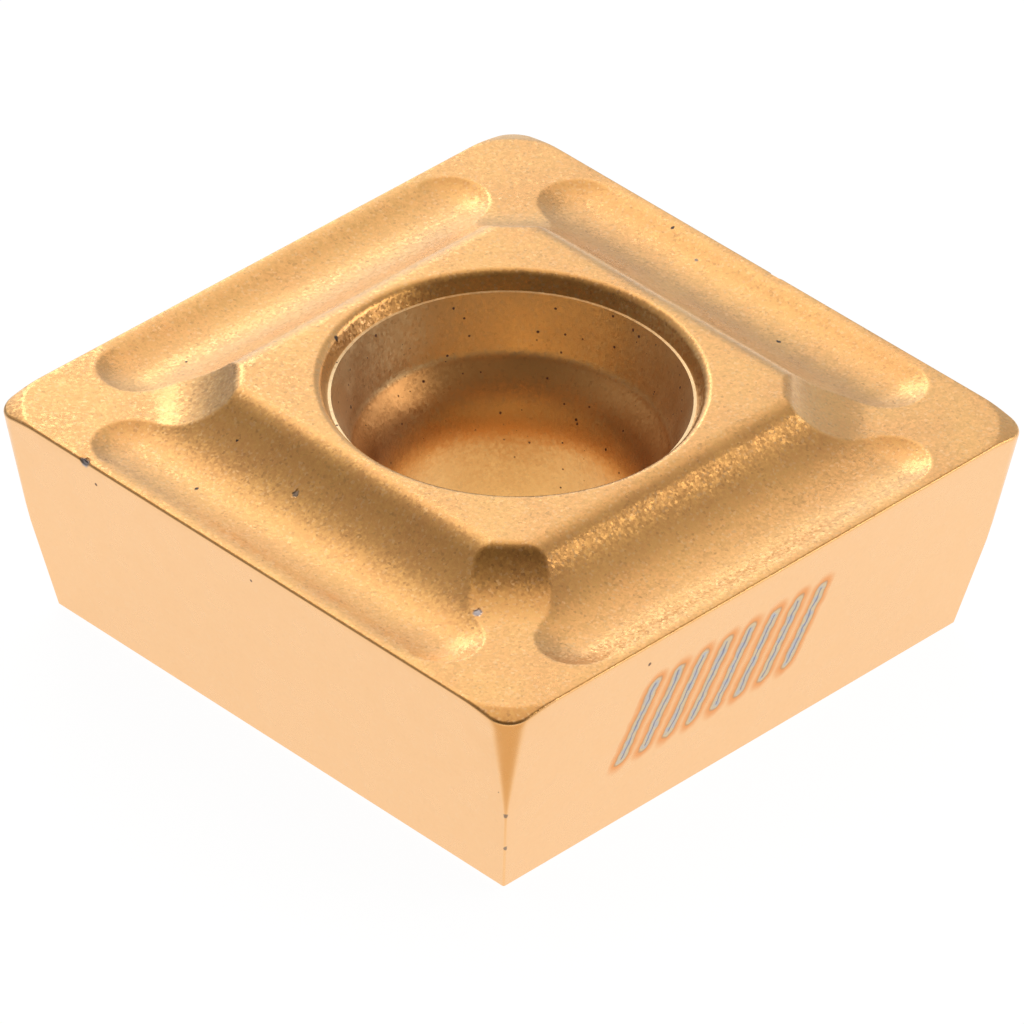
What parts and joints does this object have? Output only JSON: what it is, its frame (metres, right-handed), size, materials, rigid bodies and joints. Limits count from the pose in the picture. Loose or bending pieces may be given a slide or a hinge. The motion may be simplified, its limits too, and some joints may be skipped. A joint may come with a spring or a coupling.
{
  "type": "indexable cutting insert",
  "caption": "Square cutting insert of coated carbide with leaning flanks, a chip groove along each edge, a raised island and a countersunk screw hole.",
  "frame": {"origin": "middle of the flat seat face, on the axis of the screw hole", "axes": "+Z along the screw hole from the seat face to the grooved top, X and Y square to two cutting edges each"},
  "size_m": [0.0096, 0.0096, 0.0037],
  "materials": {
    "coated_carbide": "fine-grained satin gold coating"
  },
  "bodies": {
    "root": {"insert": "coated_carbide"}
  },
  "joints": []
}
